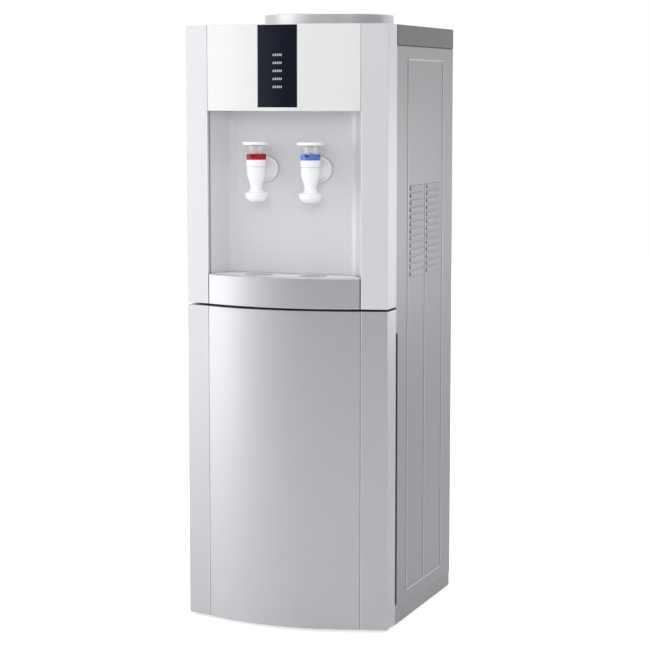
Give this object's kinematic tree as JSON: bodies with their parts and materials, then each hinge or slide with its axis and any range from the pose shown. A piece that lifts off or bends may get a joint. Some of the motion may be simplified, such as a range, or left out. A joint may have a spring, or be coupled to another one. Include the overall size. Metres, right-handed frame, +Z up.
{
  "type": "bottom load water cooler",
  "caption": "Free-standing bottom-load water cooler: bowed white front, hot and cold push taps over a drip tray, grey steel sides, and a hinged door over the bottle cabinet.",
  "frame": {"origin": "on the floor under the middle of the cooler's overall width and depth", "axes": "+X to the right of someone facing the front, +Y to the back, +Z up"},
  "size_m": [0.36, 0.413, 1.034],
  "materials": {
    "white_plastic": "smooth",
    "front_white": "smooth",
    "side_steel": "satin",
    "grey_plastic": "fine grain",
    "dark_plastic": "matte",
    "window_black": "polished",
    "silver_trim": "brushed",
    "tray_silver": "metallic satin",
    "hot_red": "smooth",
    "cold_blue": "smooth",
    "clear_plastic": "clear",
    "rubber_black": "matte",
    "hose_clear": "translucent white",
    "liner_white": "fine grain",
    "foam": "foam",
    "stainless": "satin",
    "zinc": "zinc plated",
    "aluminium": "machined",
    "spring_steel": "drawn",
    "board_green": "lacquered"
  },
  "bodies": {
    "cooler": {"alcove_liner": "white_plastic", "back_panel": "side_steel", "base_plinth": "grey_plastic", "cabinet_liner": "liner_white", "cold_ring": "cold_blue", "cold_spring": "spring_steel", "cold_tank": "stainless", "cold_tap_body": "white_plastic", "collar": "silver_trim", "cooling_block": "aluminium", "display_board": "board_green", "display_window": "window_black", "drain_spigot": "white_plastic", "fan_frame": "dark_plastic", "fan_guard": "dark_plastic", "fascia_panel": "white_plastic", "feet": "rubber_black", "front_frame": "front_white", "heat_sink": "aluminium", "heater_band": "zinc", "hinge_brackets": "zinc", "hose_clips": "white_plastic", "hot_ring": "hot_red", "hot_spring": "spring_steel", "hot_tank": "stainless", "hot_tap_body": "white_plastic", "left_side_panel": "side_steel", "magnet_catches": "dark_plastic", "mid_deck": "zinc", "power_inlet": "dark_plastic", "power_supply": "zinc", "right_side_panel": "side_steel", "suction_hose": "hose_clear", "suction_probe": "white_plastic", "switch_housing": "dark_plastic", "tank_jacket": "foam", "tank_stand": "zinc", "tap_caps": "white_plastic", "tap_gaskets": "rubber_black", "tap_nuts": "liner_white", "thermostats": "dark_plastic", "top_cover": "grey_plastic", "water_hoses": "hose_clear", "water_pump": "dark_plastic"},
    "door": {"door_frame": "front_white", "door_panel": "white_plastic", "door_liner": "liner_white", "door_strikes": "zinc", "door_bushes": "dark_plastic"},
    "hot_button": {"hot_button_disc": "white_plastic", "hot_button_stem": "clear_plastic"},
    "cold_button": {"cold_button_disc": "white_plastic", "cold_button_stem": "clear_plastic"},
    "tray": {"drip_tray": "tray_silver"},
    "grille": {"drip_grille": "tray_silver"},
    "reservoir_cap": {"collar_cap": "silver_trim"},
    "hot_switch": {"hot_rocker": "hot_red"},
    "cold_switch": {"cold_rocker": "cold_blue"},
    "drain_plug": {"drain_cap": "white_plastic"},
    "fan": {"fan_rotor": "dark_plastic"}
  },
  "joints": [
    {"name": "door_hinge", "type": "hinge", "parent": "cooler", "child": "door", "pos_m": [-0.168, -0.1375, 0.274], "axis": [0, 0, -1], "range_deg": [0, 105]},
    {"name": "hot_button_press", "type": "slide", "parent": "cooler", "child": "hot_button", "axis": [0, 0, -1], "range_m": [0, 0.006], "stiffness_N_per_m": 600, "springref_m": -0.004, "deforming": ["hot_spring"]},
    {"name": "cold_button_press", "type": "slide", "parent": "cooler", "child": "cold_button", "axis": [0, 0, -1], "range_m": [0, 0.006], "stiffness_N_per_m": 600, "springref_m": -0.004, "deforming": ["cold_spring"]},
    {"name": "tray_slide", "type": "slide", "parent": "cooler", "child": "tray", "axis": [0, -1, 0], "range_m": [0, 0.08]},
    {"name": "grille_lift", "type": "slide", "parent": "tray", "child": "grille", "axis": [0, 0, 1], "range_m": [0, 0.03]},
    {"name": "cap_lift", "type": "slide", "parent": "cooler", "child": "reservoir_cap", "axis": [0, 0, 1], "range_m": [0, 0.06]},
    {"name": "hot_switch_rock", "type": "hinge", "parent": "cooler", "child": "hot_switch", "pos_m": [0.111, 0.1915, 0.668], "axis": [-1, 0, 0], "range_deg": [0, 16]},
    {"name": "cold_switch_rock", "type": "hinge", "parent": "cooler", "child": "cold_switch", "pos_m": [0.139, 0.1915, 0.668], "axis": [-1, 0, 0], "range_deg": [0, 16]},
    {"name": "drain_cap_pull", "type": "slide", "parent": "cooler", "child": "drain_plug", "axis": [0, 1, 0], "range_m": [0, 0.02]},
    {"name": "fan_spin", "type": "hinge", "parent": "cooler", "child": "fan", "pos_m": [0, 0.178, 0.85], "axis": [0, 1, 0], "continuous": true}
  ]
}
